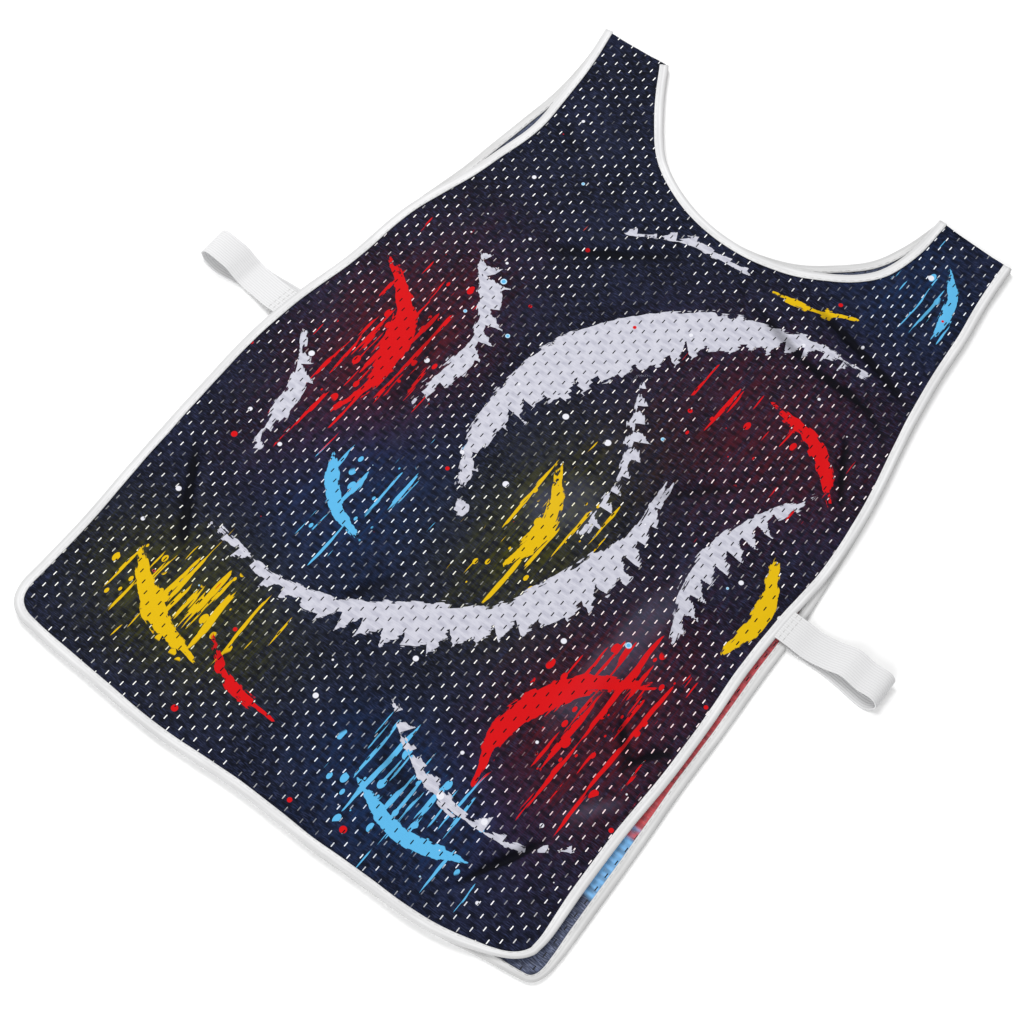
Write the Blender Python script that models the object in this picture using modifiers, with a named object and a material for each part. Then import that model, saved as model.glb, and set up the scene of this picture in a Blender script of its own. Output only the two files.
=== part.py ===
# Caddy bib laid flat: a front and a back panel of mesh cloth, sewn at the shoulders, with
# taped edges and one elastic loop at each side.
# Metres. +X to the right seen from above, +Y from the hem to the shoulders, +Z up from the
# surface that the bib lies on. The origin is under the middle of its outline.

import bpy
import bmesh
import math
from mathutils import Vector

# Driving sizes
LENGTH = 0.720           # hem to shoulder line
CLOTH = 0.0010           # wall of a panel
TAPE = 0.0010            # wall of the binding tape
TAPE_WIDTH = 0.0075      # how far the tape reaches over the cloth
ELASTIC = 0.0012         # wall of an elastic strap
ELASTIC_WIDTH = 0.0255
GAP = 0.0003             # room between pieces that touch
STRAP_GAP = 0.0005       # room between a strap's sloping end and its tape
LEFT_REACH = 0.3260      # tips of the elastic loops from the centre line
RIGHT_REACH = 0.3205
LOOP_LENGTH = 0.081      # how far a loop stands out from its edge, about

# Heights of the layers, worked out from the walls above
EDGE_STACK = 2 * TAPE + CLOTH + 2 * GAP        # tape, cloth and tape at an edge
BACK_EDGE = TAPE + GAP                         # underside of the back panel in its tape
FRONT_TAPE = EDGE_STACK + GAP                  # underside of the front panel's tape
FRONT_EDGE = FRONT_TAPE + TAPE + GAP           # underside of the front panel in its tape
FRONT_REST = CLOTH + 0.0004                    # underside of the front panel on the back one
FRONT_SEAM = EDGE_STACK + GAP                  # underside of the front at the shoulder seam
BACK_SEAM = EDGE_STACK - CLOTH                 # underside of the back at the shoulder seam

# Distances in from the edge
CLOTH_INSET = TAPE + GAP                       # cut edge of the cloth inside its tape
FLAT_BORDER = TAPE_WIDTH + 0.002               # cloth stays level up to here
FRONT_SETTLED = 0.052                          # the front has come down onto the back
BACK_SETTLED = 0.034                           # the back has come down onto the surface
SEAM_FADE = 0.022                              # reach of the shoulder seam down the strap
SEAM_STEP = 0.010                              # the cloth reaches the seam's level over this

# Cells of the meshes
CROWDING = 0.45                                # closer stations towards the rounded corners
STRAP_CELLS = 4
FRONT_CELLS = {"across": 32, "along": 40}
BACK_CELLS = {"across": 26, "along": 28}
LOOP_CELLS = {"round": 38, "across": 2}

# Side edges: height above the hem, left edge, right edge
FRONT_SIDES = (
    (0.7200, -0.2070, 0.1990),
    (0.6800, -0.1995, 0.2015),
    (0.6400, -0.1955, 0.2065),
    (0.6000, -0.1935, 0.2095),
    (0.5600, -0.2010, 0.2145),
    (0.5300, -0.2075, 0.2195),
    (0.4700, -0.2245, 0.2305),
    (0.4050, -0.2310, 0.2360),
    (0.3500, -0.2410, 0.2330),
    (0.3000, -0.2453, 0.2325),
    (0.2500, -0.2443, 0.2355),
    (0.2000, -0.2422, 0.2368),
    (0.1500, -0.2393, 0.2356),
    (0.1000, -0.2357, 0.2366),
    (0.0600, -0.2350, 0.2386),
    (0.0430, -0.2350, 0.2370),
)
BACK_SIDES = (
    (0.7200, -0.2070, 0.1990),
    (0.6800, -0.2020, 0.2015),
    (0.6400, -0.2015, 0.2065),
    (0.6000, -0.2060, 0.2095),
    (0.5600, -0.2110, 0.2145),
    (0.5300, -0.2145, 0.2195),
    (0.4700, -0.2255, 0.2305),
    (0.4050, -0.2310, 0.2380),
    (0.3500, -0.2405, 0.2425),
    (0.3000, -0.2448, 0.2440),
    (0.2500, -0.2438, 0.2460),
    (0.2000, -0.2417, 0.2470),
    (0.1500, -0.2388, 0.2495),
    (0.1000, -0.2352, 0.2514),
    (0.0600, -0.2345, 0.2526),
    (0.0430, -0.2345, 0.2522),
)

# Hem: across, height above the lowest point
FRONT_HEM = (
    (-0.2120, 0.0090),
    (-0.1850, 0.0065),
    (-0.1500, 0.0050),
    (-0.0780, 0.0020),
    (-0.0100, 0.0060),
    (0.0350, 0.0060),
    (0.0680, 0.0056),
    (0.1050, 0.0070),
    (0.1500, 0.0080),
    (0.1800, 0.0120),
    (0.2050, 0.0202),
    (0.2160, 0.0248),
)
BACK_HEM = (
    (-0.2120, 0.0095),
    (-0.1850, 0.0072),
    (-0.1500, 0.0060),
    (-0.0780, 0.0030),
    (-0.0100, 0.0070),
    (0.0350, 0.0068),
    (0.0680, 0.0060),
    (0.1050, 0.0072),
    (0.1500, 0.0090),
    (0.1800, 0.0128),
    (0.2080, 0.0182),
    (0.2290, 0.0214),
    (0.2400, 0.0234),
)

# Where the side and the hem would meet, rounded off between them
LEFT_CORNER = (-0.2370, 0.0135)
FRONT_RIGHT_CORNER = (0.2325, 0.0320)
BACK_RIGHT_CORNER = (0.2512, 0.0250)

# Neckline from the right strap to the left one: across, height above the hem
FRONT_NECK = (
    (0.1270, 0.7255),
    (0.1255, 0.6900),
    (0.1180, 0.6600),
    (0.1050, 0.6415),
    (0.0850, 0.6270),
    (0.0600, 0.6145),
    (0.0300, 0.6070),
    (0.0000, 0.6060),
    (-0.0300, 0.6110),
    (-0.0600, 0.6230),
    (-0.0840, 0.6390),
    (-0.1023, 0.6600),
    (-0.1240, 0.6920),
    (-0.1405, 0.7208),
)
BACK_NECK = (
    (0.1270, 0.7255),
    (0.1190, 0.6920),
    (0.1060, 0.6620),
    (0.0850, 0.6400),
    (0.0600, 0.6215),
    (0.0300, 0.6105),
    (0.0000, 0.6075),
    (-0.0300, 0.6120),
    (-0.0600, 0.6235),
    (-0.0840, 0.6390),
    (-0.1023, 0.6600),
    (-0.1240, 0.6920),
    (-0.1405, 0.7208),
)

# The front panel lies a little full on the back one
PUFF = 0.0034

# Folds: start across and height above the hem, end the same, half width, rise or dip
FOLDS = (
    (0.094, 0.596, 0.176, 0.573, 0.018, -0.0034),
    (0.110, 0.573, 0.168, 0.560, 0.020, 0.0030),
    (0.043, 0.572, 0.176, 0.538, 0.019, -0.0030),
    (0.174, 0.518, 0.200, 0.462, 0.018, -0.0030),
    (-0.101, 0.516, -0.012, 0.572, 0.024, -0.0028),
    (-0.075, 0.560, 0.000, 0.590, 0.026, 0.0022),
    (0.095, 0.378, 0.145, 0.428, 0.022, -0.0028),
    (-0.200, 0.186, -0.165, 0.134, 0.020, -0.0034),
    (-0.180, 0.220, -0.140, 0.160, 0.020, 0.0026),
    (0.164, 0.345, 0.150, 0.250, 0.022, 0.0034),
    (0.186, 0.290, 0.180, 0.220, 0.018, -0.0030),
    (0.188, 0.110, 0.168, 0.060, 0.018, -0.0034),
    (0.184, 0.135, 0.190, 0.165, 0.020, 0.0030),
    (-0.045, 0.165, -0.015, 0.210, 0.020, -0.0024),
    (0.020, 0.300, 0.060, 0.360, 0.032, 0.0020),
)

# Elastic loops, from the front edge out to the tip and back to the back edge:
# outward share of the reach, height of the middle of the wall, shift towards the shoulders
LEFT_LOOP = (
    (0.000, 0.0058, -0.0005),
    (0.140, 0.0052, 0.0000),
    (0.300, 0.0034, 0.0020),
    (0.480, 0.0028, 0.0040),
    (0.580, 0.0062, 0.0050),
    (0.670, 0.0100, 0.0060),
    (0.760, 0.0122, 0.0060),
    (0.860, 0.0132, 0.0065),
    (0.930, 0.0122, 0.0070),
    (0.980, 0.0092, 0.0070),
    (1.000, 0.0058, 0.0065),
    (0.985, 0.0032, 0.0060),
    (0.940, 0.0014, 0.0046),
    (0.810, 0.0006, 0.0025),
    (0.670, 0.0006, 0.0028),
    (0.500, 0.0006, 0.0044),
    (0.340, 0.0006, 0.0040),
    (0.140, 0.0010, 0.0050),
    (0.000, 0.0019, 0.0050),
)
RIGHT_LOOP = (
    (0.000, 0.0058, 0.0000),
    (0.150, 0.0053, -0.0003),
    (0.300, 0.0037, -0.0005),
    (0.480, 0.0048, 0.0012),
    (0.630, 0.0090, 0.0023),
    (0.790, 0.0084, 0.0006),
    (0.900, 0.0096, 0.0004),
    (0.955, 0.0090, 0.0002),
    (0.990, 0.0068, -0.0006),
    (1.000, 0.0044, -0.0016),
    (0.980, 0.0023, -0.0030),
    (0.940, 0.0011, -0.0050),
    (0.880, 0.0006, -0.0059),
    (0.790, 0.0006, -0.0055),
    (0.600, 0.0006, -0.0031),
    (0.420, 0.0006, -0.0017),
    (0.140, 0.0010, -0.0012),
    (0.000, 0.0019, -0.0012),
)
LEFT_LOOP_HEIGHT = 0.340     # middle of the strap above the hem
RIGHT_LOOP_HEIGHT = 0.349

# Colours: red, green, blue, roughness
NAVY = (0.016, 0.018, 0.035, 0.75)
FADED_NAVY = (0.045, 0.060, 0.100, 0.80)
TAPE_WHITE = (0.860, 0.860, 0.850, 0.70)
TAPE_GREY = (0.700, 0.700, 0.690, 0.75)
ELASTIC_WHITE = (0.880, 0.880, 0.870, 0.80)


def clear_scene():
    for obj in list(bpy.data.objects):
        bpy.data.objects.remove(obj, do_unlink=True)


def ease(value):
    value = min(1.0, max(0.0, value))
    return value * value * (3.0 - 2.0 * value)


def smooth_line(points, steps=10):
    """A Catmull-Rom line through the points."""
    nodes = [Vector(point) for point in points]
    nodes = [2 * nodes[0] - nodes[1]] + nodes + [2 * nodes[-1] - nodes[-2]]
    line = []
    for a, b, c, d in zip(nodes, nodes[1:], nodes[2:], nodes[3:]):
        for step in range(steps):
            t = step / steps
            line.append(0.5 * (2 * b + (c - a) * t + (2 * a - 5 * b + 4 * c - d) * t ** 2
                               + (3 * b - a - 3 * c + d) * t ** 3))
    return line + [nodes[-2]]


def rounded_corner(start, corner, end, steps=16):
    """The points between start and end of a curve that bends at the corner."""
    start, corner, end = Vector(start), Vector(corner), Vector(end)
    bend = []
    for step in range(1, steps):
        t = step / steps
        bend.append((1 - t) ** 2 * start + 2 * t * (1 - t) * corner + t ** 2 * end)
    return bend


def stations(line, cells, crowding=0.0):
    """Points along a line, closer together towards its ends."""
    lengths = [0.0]
    for a, b in zip(line, line[1:]):
        lengths.append(lengths[-1] + (b - a).length)
    picked = []
    index = 0
    for cell in range(cells + 1):
        share = cell / cells
        share -= crowding * math.sin(2 * math.pi * share) / (2 * math.pi)
        target = share * lengths[-1]
        while index < len(line) - 2 and lengths[index + 1] < target:
            index += 1
        part = (target - lengths[index]) / (lengths[index + 1] - lengths[index])
        picked.append(line[index].lerp(line[index + 1], part))
    return picked


def side_edge_line(sides, hem, left_corner, right_corner):
    """From the left shoulder down the side, along the hem and up to the right shoulder."""
    left = smooth_line([(row[1], row[0]) for row in sides])
    right = smooth_line([(row[2], row[0]) for row in reversed(sides)])
    bottom = smooth_line(hem)
    left_bend = rounded_corner(left[-1], left_corner, bottom[0])
    right_bend = rounded_corner(bottom[-1], right_corner, right[0])
    middle = len(left_bend) // 2
    return (left + left_bend[:middle + 1],
            left_bend[middle:] + bottom + right_bend[:middle + 1],
            right_bend[middle:] + right)


def inward(path, distance):
    """The path moved to its left, where the cloth is. Ends on the shoulder line stay on it."""
    moved = []
    for k, point in enumerate(path):
        before = path[max(k - 1, 0)]
        after = path[min(k + 1, len(path) - 1)]
        along = (after - before).normalized()
        moved.append(point + distance * Vector((-along.y, along.x)))
    for end in (0, -1):
        moved[end].y = path[end].y
    return moved


def panel_paths(sides, hem, corner, neck, cells):
    """The edge and the neckline of a panel, as stations that its cloth and its tapes share."""
    left, bottom, right = side_edge_line(sides, hem, LEFT_CORNER, corner)
    left = stations(left, cells["along"], CROWDING)
    bottom = stations(bottom, cells["across"], CROWDING)
    right = stations(right, cells["along"], CROWDING)
    edge = left + bottom[1:] + right[1:]
    neckline = stations(smooth_line(neck), cells["across"] - 2 * STRAP_CELLS)
    return edge, neckline


def distance_to(point, path):
    """The shortest way from a point to a path."""
    best = 1.0
    for a, b in zip(path, path[1:]):
        side = b - a
        share = min(1.0, max(0.0, (point - a).dot(side) / side.length_squared))
        best = min(best, (point - a - share * side).length)
    return best


def fold_rise(point):
    """Height of the folds at a point of the front panel, never below where it rests."""
    rise = PUFF
    for start_x, start_y, end_x, end_y, half_width, height in FOLDS:
        start, end = Vector((start_x, start_y)), Vector((end_x, end_y))
        side = end - start
        share = (point - start).dot(side) / side.length_squared
        away = (point - start - min(1.0, max(0.0, share)) * side).length
        rise += height * math.exp(-(away / half_width) ** 2)
    return max(0.0, rise)


def front_height(point, from_edge, from_shoulder):
    """Underside of the front panel."""
    settled = ease((from_edge - FLAT_BORDER) / (FRONT_SETTLED - FLAT_BORDER))
    height = FRONT_EDGE + (FRONT_REST - FRONT_EDGE) * settled + fold_rise(point) * settled
    stepped = ease((from_edge - FLAT_BORDER) / SEAM_STEP)
    seam = FRONT_EDGE + (FRONT_SEAM - FRONT_EDGE) * stepped
    near = 1 - ease(from_shoulder / SEAM_FADE)
    return height + (seam - height) * near


def back_height(point, from_edge, from_shoulder):
    """Underside of the back panel, level with the surface inside its border."""
    settled = ease((from_edge - FLAT_BORDER) / (BACK_SETTLED - FLAT_BORDER))
    height = BACK_EDGE * (1 - settled)
    stepped = ease((from_edge - FLAT_BORDER) / SEAM_STEP)
    seam = BACK_EDGE + (BACK_SEAM - BACK_EDGE) * stepped
    near = 1 - ease(from_shoulder / SEAM_FADE)
    return height + (seam - height) * near


def placed(flat, height):
    """A point of the flat garment, measured from its hem, in the part's own frame."""
    return Vector((flat.x, flat.y - LENGTH / 2, height))


def filled_between(bottom, top, left, right, i, j):
    """A point of the patch that four lines of stations bound."""
    u = i / (len(bottom) - 1)
    v = j / (len(left) - 1)
    ruled = bottom[i] * (1 - v) + top[i] * v + left[j] * (1 - u) + right[j] * u
    corners = ((1 - u) * (1 - v) * bottom[0] + u * (1 - v) * bottom[-1]
               + (1 - u) * v * top[0] + u * v * top[-1])
    return ruled - corners


def grid_indices(mesh, columns, rows):
    """The column and row of each vertex of a new grid."""
    return {vert: (round((vert.co.x + 1) / 2 * columns), round((vert.co.y + 1) / 2 * rows))
            for vert in mesh.verts}


def material(name, colour):
    made = bpy.data.materials.new(name)
    made.use_nodes = True
    shader = made.node_tree.nodes["Principled BSDF"]
    shader.inputs["Base Color"].default_value = (*colour[:3], 1.0)
    shader.inputs["Roughness"].default_value = colour[3]
    shader.inputs["Metallic"].default_value = 0.0
    return made


def finished(name, mesh, colour, wall, offset, collection):
    """An open surface made an object, with a wall of even thickness."""
    data = bpy.data.meshes.new(name)
    mesh.to_mesh(data)
    mesh.free()
    data.shade_smooth()
    obj = bpy.data.objects.new(name, data)
    obj.data.materials.append(material(name + "_cloth", colour))
    collection.objects.link(obj)
    shell = obj.modifiers.new("wall", "SOLIDIFY")
    shell.thickness = wall
    shell.offset = offset
    shell.use_even_offset = True
    shell.use_quality_normals = True
    return obj


def panel(name, edge, neckline, cells, height_at, border_height, colour, collection):
    """A panel of cloth inside its tapes: a patch of grid with a level border round it."""
    columns, rows = cells["across"], cells["along"]
    edge_ring = inward(edge, FLAT_BORDER)
    neck_ring = inward(neckline, FLAT_BORDER)
    left = edge_ring[rows::-1]
    bottom = edge_ring[rows:rows + columns + 1]
    right = edge_ring[rows + columns:]
    left_strap = stations([left[-1], neck_ring[-1]], STRAP_CELLS)
    right_strap = stations([neck_ring[0], right[-1]], STRAP_CELLS)
    top = left_strap + neck_ring[-2:0:-1] + right_strap

    mesh = bmesh.new()
    bmesh.ops.create_grid(mesh, x_segments=columns, y_segments=rows, size=1.0)
    index = grid_indices(mesh, columns, rows)
    for vert, (i, j) in index.items():
        flat = filled_between(bottom, top, left, right, i, j)
        from_edge = min(distance_to(flat, edge), distance_to(flat, neckline))
        vert.co = placed(flat, height_at(flat, from_edge, LENGTH - flat.y))

    # The level border, drawn out from the patch to the cut edge of the cloth
    edge_cut = inward(edge, CLOTH_INSET)
    neck_cut = inward(neckline, CLOTH_INSET)
    cut = {}
    for vert, (i, j) in index.items():
        if i == 0:
            cut[vert] = edge_cut[rows - j]
        elif j == 0:
            cut[vert] = edge_cut[rows + i]
        elif i == columns:
            cut[vert] = edge_cut[rows + columns + j]
        elif j == rows and STRAP_CELLS <= i <= columns - STRAP_CELLS:
            cut[vert] = neck_cut[columns - STRAP_CELLS - i]
    for vert in cut:
        vert.co.z = border_height
    border = [side for side in mesh.edges if side.is_boundary
              and side.verts[0] in cut and side.verts[1] in cut]
    target = {tuple(vert.co): place for vert, place in cut.items()}
    drawn = bmesh.ops.extrude_edge_only(mesh, edges=border)["geom"]
    for vert in drawn:
        if isinstance(vert, bmesh.types.BMVert):
            vert.co = placed(target[tuple(vert.co)], border_height)

    bmesh.ops.recalc_face_normals(mesh, faces=mesh.faces)
    upward = sum(face.normal.z for face in mesh.faces)
    if upward < 0:
        bmesh.ops.reverse_faces(mesh, faces=mesh.faces)
    return finished(name, mesh, colour, CLOTH, 1.0, collection)


def binding(name, path, bottom, colour, collection):
    """Tape folded over a cut edge: under the cloth, round its edge and over it."""
    inner = inward(path, TAPE_WIDTH)
    top = bottom + EDGE_STACK
    profile = ((inner, bottom), (path, bottom), (path, top), (inner, top))
    columns, rows = len(path) - 1, len(profile) - 1
    mesh = bmesh.new()
    bmesh.ops.create_grid(mesh, x_segments=columns, y_segments=rows, size=1.0)
    for vert, (i, j) in grid_indices(mesh, columns, rows).items():
        line, height = profile[j]
        vert.co = placed(line[i], height)
    mesh.normal_update()
    return finished(name, mesh, colour, TAPE, -1.0, collection)


def elastic_loop(name, side, reach, rows, middle, front_path, back_path, collection):
    """An elastic strap from the front edge out to its tip and back under to the back edge."""
    outline = smooth_line([(share * LOOP_LENGTH, height, shift) for share, height, shift in rows])
    line = stations(outline, LOOP_CELLS["round"])
    columns, across = LOOP_CELLS["round"], LOOP_CELLS["across"]
    mesh = bmesh.new()
    bmesh.ops.create_grid(mesh, x_segments=columns, y_segments=across, size=1.0)
    for vert, (i, j) in grid_indices(mesh, columns, across).items():
        share = line[i].x / LOOP_LENGTH
        level = middle + line[i].z + (j / across - 0.5) * ELASTIC_WIDTH
        path = front_path if i < columns / 2 else back_path
        start = edge_at(path, side, level) + side * STRAP_GAP
        tip = side * (reach - ELASTIC / 2)
        flat = Vector((start + (tip - start) * share, level))
        vert.co = placed(flat, line[i].y)
    return finished(name, mesh, ELASTIC_WHITE, ELASTIC, 0.0, collection)


def edge_at(path, side, height):
    """How far out a side edge is at a height above the hem."""
    for a, b in zip(path, path[1:]):
        if min(a.y, b.y) <= height <= max(a.y, b.y) and a.x * side > 0 and b.x * side > 0:
            share = (height - a.y) / (b.y - a.y)
            return a.x + (b.x - a.x) * share
    return side * 0.3


def build():
    clear_scene()
    collection = bpy.data.collections.new("caddy_bib")
    bpy.context.scene.collection.children.link(collection)
    front_edge, front_neck = panel_paths(FRONT_SIDES, FRONT_HEM, FRONT_RIGHT_CORNER,
                                         FRONT_NECK, FRONT_CELLS)
    back_edge, back_neck = panel_paths(BACK_SIDES, BACK_HEM, BACK_RIGHT_CORNER,
                                       BACK_NECK, BACK_CELLS)
    panel("back_panel", back_edge, back_neck, BACK_CELLS, back_height, BACK_EDGE,
          FADED_NAVY, collection)
    panel("front_panel", front_edge, front_neck, FRONT_CELLS, front_height, FRONT_EDGE,
          NAVY, collection)
    binding("back_edge_binding", back_edge, 0.0, TAPE_GREY, collection)
    binding("back_neck_binding", back_neck, 0.0, TAPE_GREY, collection)
    binding("front_edge_binding", front_edge, FRONT_TAPE, TAPE_WHITE, collection)
    binding("front_neck_binding", front_neck, FRONT_TAPE, TAPE_WHITE, collection)
    elastic_loop("elastic_left", -1, LEFT_REACH, LEFT_LOOP, LEFT_LOOP_HEIGHT, front_edge, back_edge,
                 collection)
    elastic_loop("elastic_right", 1, RIGHT_REACH, RIGHT_LOOP, RIGHT_LOOP_HEIGHT, front_edge, back_edge,
                 collection)


build()
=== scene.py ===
# Caddy bib laid flat on a pale floor: printed mesh cloth, rolled white tape, elastic loops.
# Tables give millimetres: across from the centre line, and height above the hem.
import math

import bmesh
import bpy
import numpy as np
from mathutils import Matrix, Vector, noise


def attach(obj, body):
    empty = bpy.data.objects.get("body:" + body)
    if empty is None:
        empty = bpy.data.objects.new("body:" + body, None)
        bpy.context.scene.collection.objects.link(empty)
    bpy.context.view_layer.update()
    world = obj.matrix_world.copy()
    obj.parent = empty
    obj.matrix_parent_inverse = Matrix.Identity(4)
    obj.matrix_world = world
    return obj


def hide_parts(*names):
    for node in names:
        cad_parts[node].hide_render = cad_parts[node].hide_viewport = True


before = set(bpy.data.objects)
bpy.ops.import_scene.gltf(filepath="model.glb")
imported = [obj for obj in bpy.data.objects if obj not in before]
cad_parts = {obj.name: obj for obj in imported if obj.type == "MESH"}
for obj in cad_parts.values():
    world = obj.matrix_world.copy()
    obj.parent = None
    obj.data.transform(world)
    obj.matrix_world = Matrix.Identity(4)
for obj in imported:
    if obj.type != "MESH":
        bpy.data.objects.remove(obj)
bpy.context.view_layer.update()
mm = 0.001

garment = {
    "length": 720,
    # height, left edge, right edge
    "frontSides": ((720, -207, 199), (680, -199.5, 201.5), (640, -195.5, 206.5),
                   (600, -193.5, 209.5), (560, -201, 214.5), (530, -207.5, 219.5),
                   (470, -224.5, 230.5), (405, -231, 236), (350, -241, 233),
                   (300, -245.3, 232.5), (250, -244.3, 235.5), (200, -242.2, 236.8),
                   (150, -239.3, 235.6), (100, -235.7, 236.6), (60, -235, 238.6),
                   (43, -235, 237)),
    "backSides": ((720, -207, 199), (680, -202, 201.5), (640, -201.5, 206.5),
                  (600, -206, 209.5), (560, -211, 214.5), (530, -214.5, 219.5),
                  (470, -225.5, 230.5), (405, -231, 238), (350, -240.5, 242.5),
                  (300, -244.8, 244), (250, -243.8, 246), (200, -241.7, 247),
                  (150, -238.8, 249.5), (100, -235.2, 251.4), (60, -234.5, 252.6),
                  (43, -234.5, 252.2)),
    "frontHem": ((-212, 9), (-185, 6.5), (-150, 5), (-78, 2), (-10, 6), (35, 6), (68, 5.6),
                 (105, 7), (150, 8), (180, 12), (205, 20.2), (216, 24.8)),
    "backHem": ((-212, 9.5), (-185, 7.2), (-150, 6), (-78, 3), (-10, 7), (35, 6.8),
                (68, 6), (105, 7.2), (150, 9), (180, 12.8), (208, 18.2), (229, 21.4),
                (240, 23.4)),
    "leftCorner": (-237, 13.5),
    "frontRightCorner": (232.5, 32),
    "backRightCorner": (251.2, 25),
    # necklines run from the right strap to the left one
    "frontNeck": ((127, 725.5), (125.5, 690), (118, 660), (105, 641.5), (85, 627),
                  (60, 614.5), (30, 607), (0, 606), (-30, 611), (-60, 623), (-84, 639),
                  (-102.3, 660), (-124, 692), (-140.5, 720.8)),
    "backNeck": ((127, 725.5), (119, 692), (106, 662), (85, 640), (60, 621.5), (30, 610.5),
                 (0, 607.5), (-30, 612), (-60, 623.5), (-84, 639), (-102.3, 660),
                 (-124, 692), (-140.5, 720.8)),
    "strapShare": 0.125,   # of the top of a panel, for each strap
    "crowding": 0.45,      # closer rows towards the rounded corners
    "flank": 150,          # only the sides lie further out than this
}


# Camera, floor and light

studio = {
    "aim": (0.0162, -0.0588, 0.004),
    "azimuth": 37.75,
    "elevation": 62.1,
    "distance": 1.583,
    "fieldOfView": 27.41,
    "floorColour": (0.97, 0.97, 0.97),
    "floorRoughness": 0.9,
    "floorSize": 12.0,
    "skyStrength": 0.5,
    # round lamps that look at the middle of the bib
    "key": {"azimuth": -125, "elevation": 52, "distance": 2.6, "size": 1.7, "power": 50},
    "fill": {"azimuth": 15, "elevation": 30, "distance": 3.0, "size": 2.0, "power": 42},
}


def around(azimuth, elevation, distance):
    side, lift = math.radians(azimuth), math.radians(elevation)
    return Vector((math.sin(side) * math.cos(lift), -math.cos(side) * math.cos(lift),
                   math.sin(lift))) * distance


def addCamera():
    lens = bpy.data.cameras.new("camera")
    camera = bpy.data.objects.new("camera", lens)
    bpy.context.scene.collection.objects.link(camera)
    aim = Vector(studio["aim"])
    camera.location = aim + around(studio["azimuth"], studio["elevation"], studio["distance"])
    camera.rotation_euler = (aim - camera.location).to_track_quat("-Z", "Y").to_euler()
    lens.sensor_fit = "HORIZONTAL"
    lens.angle = math.radians(studio["fieldOfView"])
    bpy.context.scene.camera = camera


def addSoftbox(name):
    softbox = studio[name]
    lamp = bpy.data.lights.new(name, "AREA")
    lamp.shape = "DISK"
    lamp.size = softbox["size"]
    lamp.energy = softbox["power"]
    box = bpy.data.objects.new(name, lamp)
    bpy.context.scene.collection.objects.link(box)
    box.location = around(softbox["azimuth"], softbox["elevation"], softbox["distance"])
    box.rotation_euler = (-box.location).to_track_quat("-Z", "Y").to_euler()


def addFloor():
    bm = bmesh.new()
    bmesh.ops.create_grid(bm, x_segments=1, y_segments=1, size=studio["floorSize"] / 2)
    mesh = bpy.data.meshes.new("floor")
    bm.to_mesh(mesh)
    bm.free()
    floor = bpy.data.objects.new("floor", mesh)
    bpy.context.scene.collection.objects.link(floor)
    paper = bpy.data.materials.new("floor_paper")
    paper.use_nodes = True
    surface = paper.node_tree.nodes["Principled BSDF"]
    surface.inputs["Base Color"].default_value = (*studio["floorColour"], 1)
    surface.inputs["Roughness"].default_value = studio["floorRoughness"]
    mesh.materials.append(paper)


def addLight():
    world = bpy.data.worlds.new("studio")
    world.use_nodes = True
    sky = world.node_tree.nodes["Background"]
    sky.inputs["Color"].default_value = (1, 1, 1, 1)
    sky.inputs["Strength"].default_value = studio["skyStrength"]
    bpy.context.scene.world = world
    bpy.context.scene.view_settings.view_transform = "Standard"
    addSoftbox("key")
    addSoftbox("fill")


# Lines and surfaces, all in millimetres until they are placed

def smoothLine(points, steps=12):
    nodes = np.array(points, float)
    nodes = np.vstack([2 * nodes[0] - nodes[1], nodes, 2 * nodes[-1] - nodes[-2]])
    line = []
    for a, b, c, d in zip(nodes, nodes[1:], nodes[2:], nodes[3:]):
        for step in range(steps):
            t = step / steps
            line.append(0.5 * (2 * b + (c - a) * t + (2 * a - 5 * b + 4 * c - d) * t ** 2
                               + (3 * b - a - 3 * c + d) * t ** 3))
    return np.array(line + [nodes[-2]])


def roundedCorner(start, corner, end, steps=16):
    t = np.linspace(0, 1, steps + 1)[1:-1, None]
    corner = np.array(corner, float)
    return (1 - t) ** 2 * start + 2 * t * (1 - t) * corner + t ** 2 * end


def travelled(line):
    return np.concatenate([[0], np.cumsum(np.linalg.norm(np.diff(line, axis=0), axis=1))])


def pointsAt(line, shares, values=None):
    # points of a line, or values that go with it, at shares of its length
    travel = travelled(line)
    values = line if values is None else values
    return np.column_stack([np.interp(shares * travel[-1], travel, values[:, k])
                            for k in range(values.shape[1])])


def crowded(shares):
    return shares - garment["crowding"] * np.sin(2 * math.pi * shares) / (2 * math.pi)


def sideEdges(sides, hem, rightCorner):
    left = smoothLine([(row[1], row[0]) for row in sides])
    right = smoothLine([(row[2], row[0]) for row in sides[::-1]])
    bottom = smoothLine(hem)
    leftBend = roundedCorner(left[-1], garment["leftCorner"], bottom[0])
    rightBend = roundedCorner(bottom[-1], rightCorner, right[0])
    middle = len(leftBend) // 2
    return (np.vstack([left, leftBend[:middle + 1]]),
            np.vstack([leftBend[middle:], bottom, rightBend[:middle + 1]]),
            np.vstack([rightBend[middle:], right]))


def inwardOf(line):
    along = np.gradient(line, axis=0)
    along /= np.linalg.norm(along, axis=1)[:, None]
    return np.column_stack([-along[:, 1], along[:, 0]])


def inset(line, distance):
    moved = line + inwardOf(line) * distance
    for end in (0, -1):
        if line[end, 1] >= garment["length"] - 1:
            moved[end, 1] = line[end, 1]
    return moved


def stretchesOf(line, spots):
    # for each stretch of a line its number and run, and for each spot the share of the run
    # that is nearest, the way from there and its length
    for number, (start, end) in enumerate(zip(line, line[1:])):
        run = end - start
        share = np.clip((spots - start) @ run / (run @ run), 0, 1)
        away = spots - start - share[:, None] * run
        yield number, run, share, away, np.hypot(away[:, 0], away[:, 1])


def distanceTo(spots, line):
    nearest = np.full(len(spots), 1e9)
    for *_, distance in stretchesOf(line, spots):
        nearest = np.minimum(nearest, distance)
    return nearest


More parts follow.
